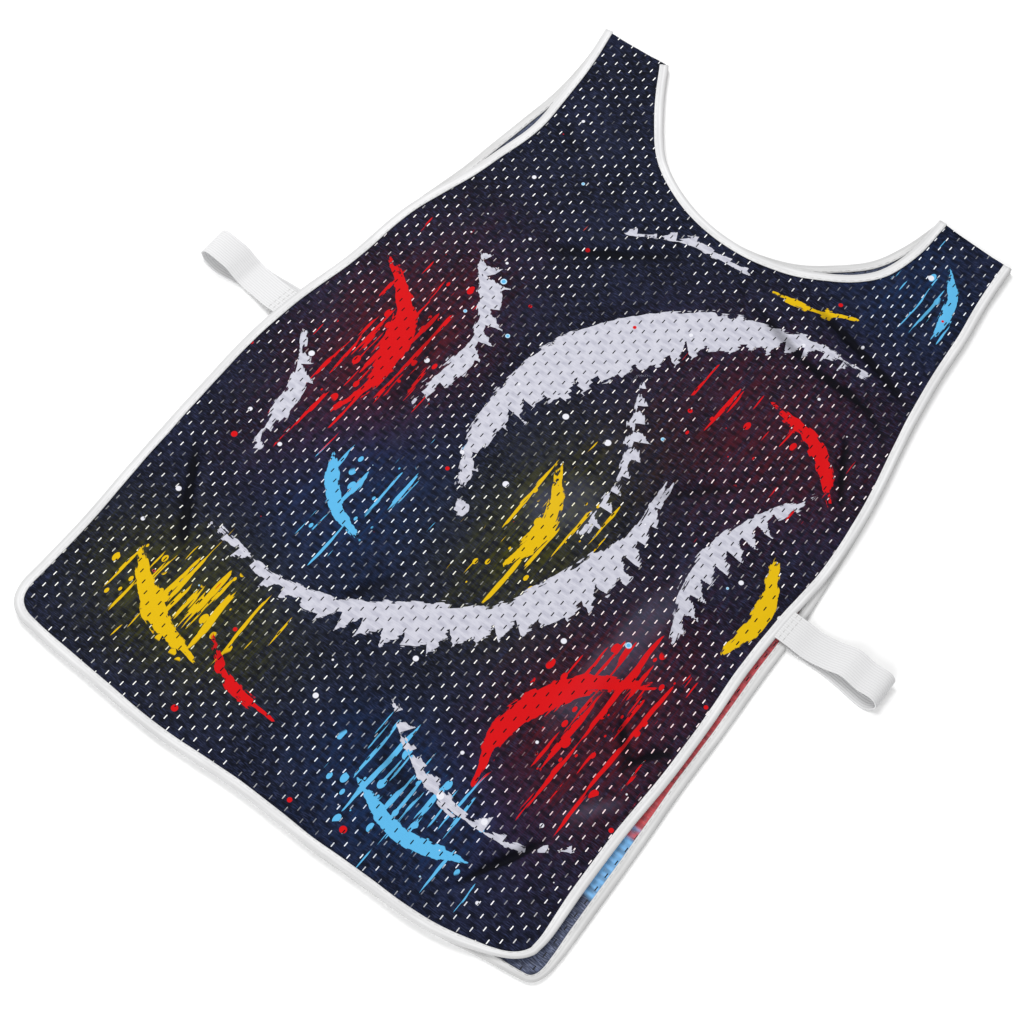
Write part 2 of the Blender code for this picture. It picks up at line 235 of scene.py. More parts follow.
def ease(value):
    value = np.clip(value, 0, 1)
    return value * value * (3 - 2 * value)


def bumpy(spots, size, seed=0.0):
    return np.array([noise.noise(Vector((x / size, y / size, seed))) for x, y in spots])


def finished(name, mesh, materials, wall=None, offset=0.0):
    mesh.shade_smooth()
    for material in materials:
        mesh.materials.append(material)
    piece = bpy.data.objects.new(name, mesh)
    bpy.context.scene.collection.objects.link(piece)
    if wall:
        shell = piece.modifiers.new("wall", "SOLIDIFY")
        shell.thickness = wall * mm
        shell.offset = offset
        shell.use_even_offset = True
        shell.use_quality_normals = True
        if len(materials) > 1:
            shell.material_offset = 1
    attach(piece, "root")
    return piece


def clothGrid(name, across, along, shape):
    # shape() gives each point's place, and its place on the cloth, from its two shares
    bm = bmesh.new()
    bmesh.ops.create_grid(bm, x_segments=across, y_segments=along, size=0.5)
    mesh = bpy.data.meshes.new(name)
    bm.to_mesh(mesh)
    bm.free()
    shares = np.empty(len(mesh.vertices) * 3)
    mesh.vertices.foreach_get("co", shares)
    shares = shares.reshape(-1, 3)[:, :2] + 0.5
    places, flat = shape(shares[:, 0], shares[:, 1])
    placed = np.column_stack([places[:, 0], places[:, 1] - garment["length"] / 2, places[:, 2]])
    mesh.vertices.foreach_set("co", (placed * mm).ravel())
    corners = np.empty(len(mesh.loops), int)
    mesh.loops.foreach_get("vertex_index", corners)
    mesh.uv_layers.new(name="flat").data.foreach_set("uv", (flat[corners] * mm).ravel())
    mesh.update()
    return mesh, flat


# Finishes

class Signal:
    # The value of one socket; sums on it add Math nodes

    def __init__(self, finish, socket):
        self.finish, self.socket = finish, socket

    def other(self, name):
        return Signal(self.finish, self.socket.node.outputs[name])

    def maths(self, operation, *values):
        inputs = dict(enumerate(values))
        return self.finish.add("ShaderNodeMath", {"operation": operation}, inputs)

    def __add__(self, value):
        return self.maths("ADD", self, value)

    def __sub__(self, value):
        return self.maths("SUBTRACT", self, value)

    def __mul__(self, value):
        return self.maths("MULTIPLY", self, value)

    def __truediv__(self, value):
        return self.maths("DIVIDE", self, value)

    def __rsub__(self, value):
        return self.maths("SUBTRACT", value, self)

    __radd__, __rmul__ = __add__, __mul__

    def atLeast(self, value):
        return self.maths("MAXIMUM", self, value)

    def atMost(self, value):
        return self.maths("MINIMUM", self, value)

    def size(self):
        return self.maths("ABSOLUTE", self)

    def whole(self):
        return self.maths("FLOOR", self)

    def part(self):
        return self.maths("FRACT", self)

    def wave(self):
        return self.maths("SINE", self)

    def rising(self, low, high):
        # 0 below low, 1 above high, eased between them
        return self.finish.add("ShaderNodeMapRange", {"interpolation_type": "SMOOTHSTEP"},
                               {0: self, 1: low, 2: high, 3: 0.0, 4: 1.0})


class Finish:
    # A material, and the way to add nodes to it

    def __init__(self, name, roughness):
        self.material = bpy.data.materials.new(name)
        self.material.use_nodes = True
        self.tree = self.material.node_tree
        self.surface = self.tree.nodes["Principled BSDF"]
        self.surface.inputs["Roughness"].default_value = roughness

    def add(self, kind, settings=None, inputs=None, output=0):
        node = self.tree.nodes.new(kind)
        for name, value in (settings or {}).items():
            setattr(node, name, value)
        for name, value in (inputs or {}).items():
            self.feed(node.inputs[name], value)
        return Signal(self, node.outputs[output])

    def feed(self, socket, value):
        if isinstance(value, Signal):
            self.tree.links.new(value.socket, socket)
        elif socket.type == "RGBA" and isinstance(value, str):
            socket.default_value = (*colourOf(value), 1)
        else:
            socket.default_value = value

    def blend(self, share, low, high):
        return self.add("ShaderNodeMix", {"data_type": "RGBA"}, {0: share, 6: low, 7: high}, 2)

    def vector(self, x, y, z=0.0):
        return self.add("ShaderNodeCombineXYZ", None, {0: x, 1: y, 2: z})

    def noise(self, vector, scale, detail=2.0, rough=0.5):
        return self.add("ShaderNodeTexNoise", {"noise_dimensions": "3D"},
                        {"Vector": vector, "Scale": scale, "Detail": detail,
                         "Roughness": rough}, "Fac")

    def spot(self):
        # place on the flat cloth, in millimetres
        flat = self.add("ShaderNodeUVMap", {"uv_map": "flat"})
        parts = self.add("ShaderNodeSeparateXYZ", None, {0: flat})
        return parts * 1000, parts.other("Y") * 1000

    def relief(self, height, depth, strength):
        inputs = {"Height": height, "Distance": depth * mm, "Strength": strength}
        return self.add("ShaderNodeBump", None, inputs)

    def shows(self, **values):
        # feeds the surface, by the names of its sockets
        for name, value in values.items():
            self.feed(self.surface.inputs[name.replace("_", " ")], value)


def colourOf(code):
    # a screen colour such as "#20233a" as the shader's linear numbers
    parts = [int(code[k:k + 2], 16) / 255 for k in (1, 3, 5)]
    return tuple(p / 12.92 if p <= 0.04045 else ((p + 0.055) / 1.055) ** 2.4 for p in parts)


knit = {
    "slitAcross": 14.2,     # from slit to slit, with one more in the middle of each four
    "slitAlong": 11.7,
    "slitLength": 3.9,
    "slitWidth": 0.88,
    "wale": 0.9,            # from one column of loops to the next
    "waleHeight": 0.06,     # shares of the relief
    "streakHeight": 0.8,
    "slitDepth": 1.6,
    "reliefDepth": 0.35,
    "reliefStrength": 0.8,
}

inks = {
    "ground": "#131729",
    "groundLight": "#333a5a",
    "groundDeep": "#060812",
    "pale": "#c5c5d0",
    "paleShade": "#a3a3b2",
    "red": "#c80d12",
    "yellow": "#d4ad0a",
    "blue": "#58acda",
    "speck": "#dcdce4",
    "redGlow": "#4a101a",
    "yellowGlow": "#3a3a10",
    "blueGlow": "#122a50",
    # slit colours: white knit with a painted highlight, tinted over the print; painted shade
    # down the slits on the inks
    "redSlit": "#f07080",
    "yellowSlit": "#e8e080",
    "blueSlit": "#b0d0f8",
    "plainSlit": "#ffffff",
    "slitShadePainted": "#0c0d14",
    "dropRim": "#e4f4fa",
    # painted shade for the creases and painted highlight for the ridges
    "creaseShadePainted": "#03040a",
    "ridgeHighlightPainted": "#6a6e88",
}

fadedInks = {
    "deep": "#262c40",
    "light": "#505a78",
    # the print that has come through: from and to a height, and its colour
    "through": ((122, 134, "#72aee0"), (178, 192, "#c2484e"), (460, 480, "#38425c")),
    "bands": "#1d1f2c",
    "streaks": "#b9bccb",
    # painted shade down the slits
    "innerSlitShade": "#101119",
}

# A made-up print: torn brush sweeps with half widths along them, combed streaks and drops
printDesign = {
    "pale": (
        {"line": ((172, 566), (96, 556), (18, 500), (-34, 418), (-44, 340), (-20, 280)),
         "half": (1, 5, 15, 22, 27, 17, 8, 1)},
        {"line": ((96, 398), (104, 322), (74, 238), (8, 178), (-78, 148), (-160, 156)),
         "half": (1, 8, 17, 12, 18, 9, 4, 1)},
        {"line": ((-148, 474), (-112, 440), (-96, 388), (-104, 330)), "half": (1, 9, 6, 8, 1)},
        {"line": ((190, 452), (168, 402), (160, 340), (176, 284)), "half": (1, 6, 10, 7, 1)},
        {"line": ((-212, 330), (-184, 286), (-176, 228)), "half": (1, 5, 7, 1)},
        {"line": ((40, 128), (96, 96), (170, 92), (214, 116)), "half": (1, 3, 4, 2, 1)},
        {"line": ((-66, 560), (-20, 584), (34, 588)), "half": (1, 3, 4, 1)},
        {"line": ((28, 452), (62, 384), (70, 318)), "half": (1, 5, 3, 1)},
    ),
    "red": (
        {"line": ((-206, 428), (-160, 390), (-140, 332), (-148, 286)), "half": (1, 6, 10, 5, 1)},
        {"line": ((186, 252), (140, 214), (118, 160), (128, 112)), "half": (1, 6, 10, 7, 1)},
        {"line": ((118, 500), (166, 488), (204, 452)), "half": (1, 5, 6, 1)},
        {"line": ((-96, 86), (-60, 66), (-14, 62)), "half": (1, 3, 4, 1)},
    ),
    "yellow": (
        {"line": ((-186, 108), (-140, 74), (-88, 62)), "half": (1, 6, 9, 5, 1)},
        {"line": ((20, 356), (44, 312), (40, 262)), "half": (1, 5, 7, 1)},
        {"line": ((196, 390), (214, 348), (210, 304)), "half": (1, 6, 7, 1)},
        {"line": ((60, 584), (92, 590), (128, 604)), "half": (1, 3, 3, 1)},
    ),
    "blue": (
        {"line": ((60, 66), (110, 52), (160, 64)), "half": (1, 5, 6, 1)},
        {"line": ((158, 690), (178, 664), (184, 628)), "half": (1, 4, 5, 1)},
        {"line": ((-126, 262), (-96, 226), (-60, 212)), "half": (1, 5, 5, 1)},
    ),
    # brushed colour: middle, reach across and along, strength
    "patches": (
        {"ink": "red", "middle": (-150, 360), "reach": (56, 100), "share": 0.8},
        {"ink": "red", "middle": (168, 200), "reach": (56, 90), "share": 0.9},
        {"ink": "red", "middle": (130, 470), "reach": (90, 80), "share": 0.5},
        {"ink": "yellow", "middle": (-128, 96), "reach": (74, 50), "share": 0.9},
        {"ink": "yellow", "middle": (40, 300), "reach": (50, 90), "share": 0.65},
        {"ink": "blue", "middle": (96, 74), "reach": (74, 50), "share": 0.85},
        {"ink": "blue", "middle": (-84, 236), "reach": (60, 70), "share": 0.6},
        {"ink": "blue", "middle": (150, 650), "reach": (50, 60), "share": 0.5},
    ),
    # how far each ink's edge is torn, from the lowest ink to the top one
    "ragged": {"blue": 6, "yellow": 9, "red": 9, "pale": 13},
    "teeth": {"step": 16, "reach": 20},    # along one side of the pale sweeps
    "fineDrops": {"scale": 0.13, "size": 0.5, "share": 0.8},
    "largeDrops": {"scale": 0.026, "size": 0.16, "share": 0.45},
    "dropStretch": 0.62,
    "stations": 49,         # along a sweep
    "farOutside": -60.0,
    "apart": 500,           # between the runs of two sweeps, so that they tear differently
}


def sweepLine(sweep, stations):
    share = np.linspace(0, 1, stations)
    half = smoothLine([(place, width) for place, width
                       in zip(np.linspace(0, 1, len(sweep["half"])), sweep["half"])])
    return (pointsAt(smoothLine(sweep["line"]), share),
            np.interp(share, half[:, 0], half[:, 1]))


def sweepField(flat, sweeps):
    # place across and along the nearest sweep of an ink, and how far inside it, per point
    field = np.column_stack([flat, np.full(len(flat), printDesign["farOutside"])])
    for number, sweep in enumerate(sweeps):
        line, half = sweepLine(sweep, printDesign["stations"])
        travel = travelled(line)
        for k, run, share, away, distance in stretchesOf(line, flat):
            inside = half[k] + (half[k + 1] - half[k]) * share - distance
            better = inside > field[:, 2]
            across = np.sign(away[:, 1] * run[0] - away[:, 0] * run[1]) * distance
            along = travel[k] + share * np.hypot(*run) + printDesign["apart"] * number
            field[better] = np.column_stack([across, along, inside])[better]
    return field


def addPrint(mesh, flat):
    for ink in ("pale", "red", "yellow", "blue"):
        field = sweepField(flat, printDesign[ink]).astype(np.float32)
        layer = mesh.attributes.new(ink + "Ink", "FLOAT_VECTOR", "POINT")
        layer.data.foreach_set("vector", field.ravel())
    brushed = np.zeros((len(flat), 3), np.float32)
    for patch in printDesign["patches"]:
        column = ("red", "yellow", "blue").index(patch["ink"])
        away = (flat - np.array(patch["middle"])) / np.array(patch["reach"])
        brushed[:, column] += patch["share"] * np.exp(-(away ** 2).sum(axis=1))
    layer = mesh.attributes.new("brushed", "FLOAT_VECTOR", "POINT")
    layer.data.foreach_set("vector", brushed.ravel())


def slitsOf(cloth, across, height):
    # mask of the slits, and a random number for each
    masks = []
    for shift in (0.0, 0.5):
        column = across / knit["slitAcross"] + shift
        row = height / knit["slitAlong"] + shift
        dx = (column.part() - 0.5) * knit["slitAcross"]
        dy = ((row.part() - 0.5) * knit["slitAlong"]).size()
        over = (dy - (knit["slitLength"] - knit["slitWidth"]) / 2).atLeast(0.0)
        away = dx * dx + over * over
        chance = cloth.add("ShaderNodeTexWhiteNoise", {"noise_dimensions": "3D"},
                           {0: cloth.vector(column.whole(), row.whole(), shift)})
        reach = (knit["slitWidth"] / 2) ** 2
        masks.append(((1 - away.rising(reach * 0.5, reach * 1.3)), chance))
    (first, firstChance), (second, secondChance) = masks
    return first.atLeast(second), first * firstChance + second * secondChance


def knitRelief(cloth, across, slits, streaks):
    wales = (across * (2 * math.pi / knit["wale"])).wave() * knit["waleHeight"]
    height = streaks * knit["streakHeight"] + wales - slits * knit["slitDepth"]
    return cloth.relief(height, knit["reliefDepth"], knit["reliefStrength"])


def knitBands(cloth, across, height):
    # short darker bands along the rows of the knit, laid like bricks
    course = height / (knit["slitAlong"] / 2)
    row = course.whole()
    lying = (course.part() - 0.5).size().rising(0.12, 0.46)
    broken = cloth.noise(cloth.vector(across / 9 + row * 7.3, row), 1.0, 1)
    return (1 - lying) * broken.rising(0.38, 0.6)


def inkOf(cloth, ink, ragged, edge, notch):
    place = cloth.add("ShaderNodeAttribute", {"attribute_name": ink + "Ink"}, None, "Vector")
    parts = cloth.add("ShaderNodeSeparateXYZ", None, {0: place})
    across, along, inside = parts, parts.other("Y"), parts.other("Z")
    streak = cloth.noise(cloth.vector(across / 2.6, along / 90), 1.0, 3, 0.6)
    torn = (streak - 0.5) * ragged + (edge - 0.5) * 2 + (notch - 0.5) * ragged
    if ink == "pale":
        # pointed teeth along one side of the sweeps
        teeth = printDesign["teeth"]
        steps = along / teeth["step"]
        chance = cloth.noise(cloth.vector(steps.whole() * 3.7, 0.5), 1.0, 0)
        tooth = (steps.part() - 0.6) * chance.rising(0.3, 0.7) * across.rising(-3, 3)
        torn = torn + tooth * teeth["reach"]
    return (inside + torn).rising(-0.25, 0.25)


def dropsOf(cloth, across, height, kind):
    # ovals of ink, longer up and down, a random colour for each, and their rims
    cell = cloth.vector(across, height * printDesign["dropStretch"])
    drops = cloth.add("ShaderNodeTexVoronoi", {"voronoi_dimensions": "2D"},
                      {"Vector": cell, "Scale": kind["scale"], "Randomness": 1.0}, "Distance")
    pick = cloth.add("ShaderNodeSeparateColor", None, {0: drops.other("Color")})
    radius = (pick - (1 - kind["share"])).atLeast(0.0) * kind["size"]
    mask = (1 - (drops - radius).rising(-0.007, 0.007)) * radius.rising(0.0, 0.006)
    return mask, pick, (drops - radius * 0.8).rising(-0.02, 0.0)


def printedMesh():
    cloth = Finish("printed_mesh_cloth", roughness=0.62)
    across, height = cloth.spot()
    place = cloth.vector(across, height)
    slits, chance = slitsOf(cloth, across, height)
    cloudy = cloth.noise(place, 0.018, 3)
    edge = cloth.noise(place, 0.35, 3)
    notch = cloth.noise(cloth.vector(across / 9, height / 15), 1.0, 2)
    streaks = cloth.noise(cloth.vector(across / 5, height / 0.8), 1.0, 3)
    bands = knitBands(cloth, across, height)

    brushed = cloth.add("ShaderNodeAttribute", {"attribute_name": "brushed"}, None, "Vector")
    brushed = cloth.add("ShaderNodeSeparateXYZ", None, {0: brushed})
    shares = {"red": brushed, "yellow": brushed.other("Y"), "blue": brushed.other("Z")}
    combed = cloth.noise(cloth.vector(across / 2.4, height / 60), 1.0, 4, 0.62)
    bristles = cloth.noise(cloth.vector(across / 5.5, height / 75), 1.0, 3, 0.45)
    colour = cloth.blend(cloudy.rising(0.35, 0.7), inks["groundDeep"], inks["ground"])
    colour = cloth.blend(streaks.rising(0.42, 0.72) * 0.75, colour, inks["groundLight"])
    light = inks["plainSlit"]
    for ink, share in shares.items():
        glow = (share * 1.8).atMost(1.0) * (combed.rising(0.38, 0.66) * 0.75 + 0.25)
        colour = cloth.blend(glow, colour, inks[ink + "Glow"])
        light = cloth.blend(share.atMost(1.0) * 0.75, light, inks[ink + "Slit"])
    colour = cloth.blend(bands * 0.7, colour, inks["groundDeep"])

    covered = None
    small, smallPick, _ = dropsOf(cloth, across, height, printDesign["fineDrops"])
    for ink, ragged in printDesign["ragged"].items():
        mask = inkOf(cloth, ink, ragged, edge, notch)
        if ink in shares:
            # dry bristle lines and drops thicken towards the middle of each patch
            share = shares[ink]
            mask = mask.atLeast((bristles + share * 0.29).rising(0.765, 0.78))
            mask = mask.atLeast(small * (smallPick.other("Blue") + share).rising(1.28, 1.3))
            tone = inks[ink]
        else:
            tone = cloth.blend(bands * 0.5 + streaks.rising(0.4, 0.7) * 0.3, inks["pale"],
                               inks["paleShade"])
        colour = cloth.blend(mask, colour, tone)
        covered = mask if covered is None else covered.atLeast(mask)

    # a few larger drops, most of them white
    dot, pick, rim = dropsOf(cloth, across, height * 1.6, printDesign["largeDrops"])
    pick = pick.other("Green")
    isBlue = pick.rising(0.79, 0.8)
    dotColour = cloth.blend(pick.rising(0.54, 0.55), inks["speck"], inks["red"])
    dotColour = cloth.blend(isBlue, dotColour, inks["blue"])
    dotColour = cloth.blend(rim * isBlue * 0.5, dotColour, inks["dropRim"])
    colour = cloth.blend(dot, colour, dotColour)
    covered = covered.atLeast(dot)

    # painted shade darkens the cloth down in a crease, and a painted highlight makes it paler
    # along a ridge
    crease = cloth.add("ShaderNodeAttribute", {"attribute_name": "crease"}, None, "Fac")
    creaseShadePainted = (0 - crease).rising(0.2, 0.85) * (0.92 - covered * 0.4)
    ridgeHighlightPainted = crease.rising(0.05, 0.8) * (0.2 - covered * 0.18)
    colour = cloth.blend(creaseShadePainted, colour, inks["creaseShadePainted"])
    colour = cloth.blend(ridgeHighlightPainted, colour, inks["ridgeHighlightPainted"])

    # slits show white knit with a painted highlight through the dark ground, and painted shade
    # down the slits on the inks
    fading = cloth.noise(place, 0.016, 3).rising(0.40, 0.54) * 0.8 + 0.2
    seen = fading * (chance.rising(0.05, 0.4) * 0.75 + 0.25)
    slitColour = cloth.blend(seen, colour, light)
    slitColour = cloth.blend(covered, slitColour, inks["slitShadePainted"])
    colour = cloth.blend(slits, colour, slitColour)
    cloth.shows(Base_Color=colour, Roughness=0.58 + streaks * 0.15, Specular_IOR_Level=0.06,
                Normal=knitRelief(cloth, across, slits, streaks))
    return cloth.material


def fadedMesh():
    # the inner face: the print has come through it, blue above the hem, then red
    cloth = Finish("faded_mesh_cloth", roughness=0.75)
    across, height = cloth.spot()
    slits, _ = slitsOf(cloth, across, height)
    streaks = cloth.noise(cloth.vector(across / 5, height / 0.8), 1.0, 3)
    bands = knitBands(cloth, across, height)
    wander = cloth.noise(cloth.vector(across / 30, height / 12), 1.0, 3) * 60 + height
    colour = cloth.blend(streaks.rising(0.35, 0.65), fadedInks["deep"], fadedInks["light"])
    for low, high, tone in fadedInks["through"]:
        colour = cloth.blend(wander.rising(low, high), colour, tone)
    colour = cloth.blend(bands * 0.45, colour, fadedInks["bands"])
    colour = cloth.blend(streaks.rising(0.5, 0.8) * 0.35, colour, fadedInks["streaks"])
    # painted shade down the slits
    colour = cloth.blend(slits, colour, fadedInks["innerSlitShade"])
    cloth.shows(Base_Color=colour, Normal=knitRelief(cloth, across, slits, streaks))
    return cloth.material


def wovenTape(name, light, dull):
    weave = Finish(name, roughness=0.72)
    along, across = weave.spot()
    grain = weave.noise(weave.vector(along / 0.5, across / 2.2), 1.0, 2)
    soiled = weave.noise(weave.vector(along / 40, across / 5), 1.0, 3)
    colour = weave.blend(soiled.rising(0.3, 0.7), dull, light)
    colour = weave.blend(grain.rising(0.3, 0.7) * 0.25, colour, dull)
    # painted shade where the tape rolls over the edge and along its groove
    rolled = 1 - (across - tape["rolled"]).size().rising(0.8, 2.4)
    grooved = 1 - (across - tape["grooved"]).size().rising(0.1, 0.9)
    colour = weave.blend(rolled * 0.35 + grooved * 0.12, colour, tape["paintedShade"])
    weave.shows(Base_Color=colour, Normal=weave.relief(grain, 0.12, 0.6))
    return weave.material


def ribbedElastic():
    strap = Finish("white_elastic", roughness=0.8)
    along, across = strap.spot()
    rib = (across * (2 * math.pi / elastic["ribStep"])).wave()
    picks = (along * (2 * math.pi / elastic["pickStep"])).wave()
    grain = strap.noise(strap.vector(along / 0.7, across / 0.7), 1.0, 2)
    # painted shade: the hollows between the ribs are darker
    colour = strap.blend(rib.rising(-1.0, 0.2), elastic["dull"], elastic["light"])
    colour = strap.blend(grain.rising(0.4, 0.7) * 0.3, colour, elastic["grain"])
    strap.shows(Base_Color=colour,
                Normal=strap.relief(rib * 0.2 + picks * 0.25 + grain * 0.5, 0.1, 0.7))
    return strap.material


def plainThread(name, code):
    thread = Finish(name, roughness=0.6)
    place = thread.add("ShaderNodeTexCoord", None, None, "Object")
    twist = thread.noise(place, 2500, 1)
    light = tuple(min(1.0, part * 1.15) for part in colourOf(code))
    thread.shows(Base_Color=thread.blend(twist, code, (*light, 1)))
    return thread.material


# Panels

frontPanel = {
    "inTape": 4.4,          # underside where the tape holds it, above the floor
    "lowest": 1.2,          # underside where it has come down on the back
    "atSeam": 3.6,          # underside at the shoulder
    "settled": 52.0,        # in from the edge, where it has come down
    # lines of the creases, half width, rise, and a ridge on their left or right (minus)
    "creases": (
        {"line": ((94, 596), (140, 584), (173, 574), (208, 558)), "half": 4.5, "rise": -3.4,
         "ridge": 1.6},
        {"line": ((43, 572), (113, 549), (166, 543), (190, 535), (214, 514)), "half": 4.5,
         "rise": -2.8, "ridge": 1.4},
        {"line": ((174, 520), (192, 485), (212, 452)), "half": 4, "rise": -2.8, "ridge": -1.4},
        {"line": ((95, 378), (120, 405), (148, 432)), "half": 7, "rise": -2.4, "ridge": 1.0},
        {"line": ((-105, 512), (-44, 550), (-8, 576)), "half": 7, "rise": -2.6, "ridge": 1.2},
        {"line": ((-214, 204), (-183, 159), (-158, 124)), "half": 5, "rise": -3.2,
         "ridge": 1.6},
        {"line": ((-40, 166), (-18, 208)), "half": 6, "rise": -2.0, "ridge": 1.0},
        {"line": ((165, 345), (158, 302), (152, 247), (154, 185)), "half": 7, "rise": 2.4,
         "ridge": -1.2},
        {"line": ((230, 220), (213, 204), (204, 184)), "half": 4, "rise": -2.8, "ridge": 1.2},
        {"line": ((176, 222), (188, 210), (200, 196)), "half": 4.5, "rise": -2.6, "ridge": 1.2},
        {"line": ((193, 132), (208, 150), (222, 168)), "half": 5, "rise": 2.0, "ridge": 0.0},
        {"line": ((194, 113), (183, 88), (173, 70), (164, 48)), "half": 4, "rise": -3.4,
         "ridge": 1.4},
        {"line": ((20, 300), (60, 360)), "half": 20, "rise": 1.8, "ridge": 0.0},
        {"line": ((-150, 420), (-120, 360), (-110, 300)), "half": 10, "rise": -1.8,
         "ridge": 0.8},
        {"line": ((30, 120), (70, 90), (120, 80)), "half": 9, "rise": -1.6, "ridge": 0.8},
        {"line": ((-120, 100), (-60, 70)), "half": 9, "rise": -1.4, "ridge": 0.6},
        {"line": ((-192, 712), (-166, 706), (-142, 698)), "half": 4, "rise": -1.6,
         "ridge": 0.8},
        {"line": ((-178, 640), (-160, 610), (-130, 590)), "half": 6, "rise": -1.6,
         "ridge": 0.8},
        {"line": ((150, 680), (168, 650), (176, 612)), "half": 6, "rise": -1.4, "ridge": 0.8},
    ),
    "puff": 3.4,            # the front lies a little full on the back
    "crumple": ((70, 0.7), (24, 0.30), (9, 0.10)),    # size and height of small unevenness
    "puckers": 0.35,        # beside the tape
    "across": 180,
    "along": 238,
}

backPanel = {
    "inTape": 1.1,
    "lowest": 0.0,
    "atSeam": 2.6,
    "settled": 34.0,
    "creases": (
        {"line": ((180, 380), (220, 340), (250, 320)), "half": 8, "rise": 0.5, "ridge": 0.0},
        {"line": ((-60, 560), (0, 540), (60, 560)), "half": 12, "rise": 0.5, "ridge": 0.0},
        {"line": ((150, 60), (200, 90), (240, 140)), "half": 10, "rise": 0.5, "ridge": 0.0},
    ),
    "puff": 0.3,
    "crumple": ((50, 0.12), (16, 0.06)),
    "puckers": 0.1,
    "across": 90,
    "along": 120,
}

laying = {                  # of both panels
    "cloth": 0.7,           # thickness
    "cutIn": 1.5,           # from the edge of the bib to the cut edge of the cloth
    "flatBorder": 9.5,      # held flat by the tape
    "looseFrom": 6,         # folds and crumpling start here, and are full this much further
    "looseOver": 16,
    "puckerIn": 11,
    "puckerReach": 8,
    "puckerSize": 7,
    "room": 0.25,           # kept over what lies below
    "seamFade": 22.0,
    "seamStep": 10.0,
    "deepCrease": 3,        # rise or dip that counts as full for the shading
}

creaseForm = {
    "endShare": 0.35,       # of a crease's rise, left at its ends
    "skirt": 2.8,           # of its half width, for its soft foot
    "beside": 1.7,          # how many half widths away its ridge lies
    "steps": 13,
}


def creaseRise(flat, creases):
    rise = np.zeros(len(flat))
    for crease in creases:
        line = pointsAt(smoothLine(crease["line"]), np.linspace(0, 1, creaseForm["steps"]))
        travel = travelled(line)
        nearest = np.full(len(flat), 1e9)
        signed = np.zeros(len(flat))
        along = np.zeros(len(flat))
        for k, run, share, away, distance in stretchesOf(line, flat):
            closer = distance < nearest
            hand = np.sign(run[0] * away[:, 1] - run[1] * away[:, 0])
            nearest[closer] = distance[closer]
            signed[closer] = (hand * distance)[closer]
            along[closer] = ((travel[k] + share * np.hypot(*run)) / travel[-1])[closer]
        half, least = crease["half"], creaseForm["endShare"]
        ends = least + (1 - least) * np.sin(math.pi * np.clip(along, 0.02, 0.98)) ** 0.7
        skirt = nearest / half / creaseForm["skirt"]
        core = 0.6 * np.exp(-(nearest / half) ** 2) + 0.4 * np.exp(-skirt ** 2)
        rise += crease["rise"] * ends * core
        if crease["ridge"]:
            beside = signed - math.copysign(creaseForm["beside"] * half, crease["ridge"])
            reach = np.where(nearest > np.abs(signed) + 1e-6, nearest, np.abs(beside))
            rise += abs(crease["ridge"]) * ends * np.exp(-(reach / half) ** 2)
    return rise


def panelShape(sides, hem, rightCorner, neck):
    left, bottom, right = sideEdges(sides, hem, rightCorner)
    edge = np.vstack([left, bottom[1:], right[1:]])
    neckline = smoothLine(neck)
    return {"left": left, "bottom": bottom, "right": right, "edge": edge, "neck": neckline}


def patchPlaces(outline, u, v):
    # places between the four sides of a panel, which is cut a little in from its outline
    leftRun, bottomRun = len(outline["left"]), len(outline["bottom"])
    edge = inset(outline["edge"], laying["cutIn"])
    neck = inset(outline["neck"], laying["cutIn"])
    left = edge[:leftRun][::-1]
    bottom = edge[leftRun - 1:leftRun + bottomRun - 1]
    right = edge[leftRun + bottomRun - 2:]
    strap = garment["strapShare"]
    leftStrap = np.array([left[-1], neck[-1]])
    rightStrap = np.array([neck[0], right[-1]])

    def topAt(share):
        places = pointsAt(neck[::-1], np.clip((share - strap) / (1 - 2 * strap), 0, 1))
        first, last = share < strap, share > 1 - strap
        places[first] = pointsAt(leftStrap, share[first] / strap)
        places[last] = pointsAt(rightStrap, (share[last] - 1 + strap) / strap)
        return places

    across, along = u[:, None], v[:, None]
    leftAt, rightAt = pointsAt(left, crowded(v)), pointsAt(right, crowded(v))
    bottomAt, topPlaces = pointsAt(bottom, crowded(u)), topAt(u)
    corners = ((1 - across) * (1 - along) * bottom[0] + across * (1 - along) * bottom[-1]
               + (1 - across) * along * left[-1] + across * along * right[-1])
    return (bottomAt * (1 - along) + topPlaces * along
            + leftAt * (1 - across) + rightAt * across - corners)


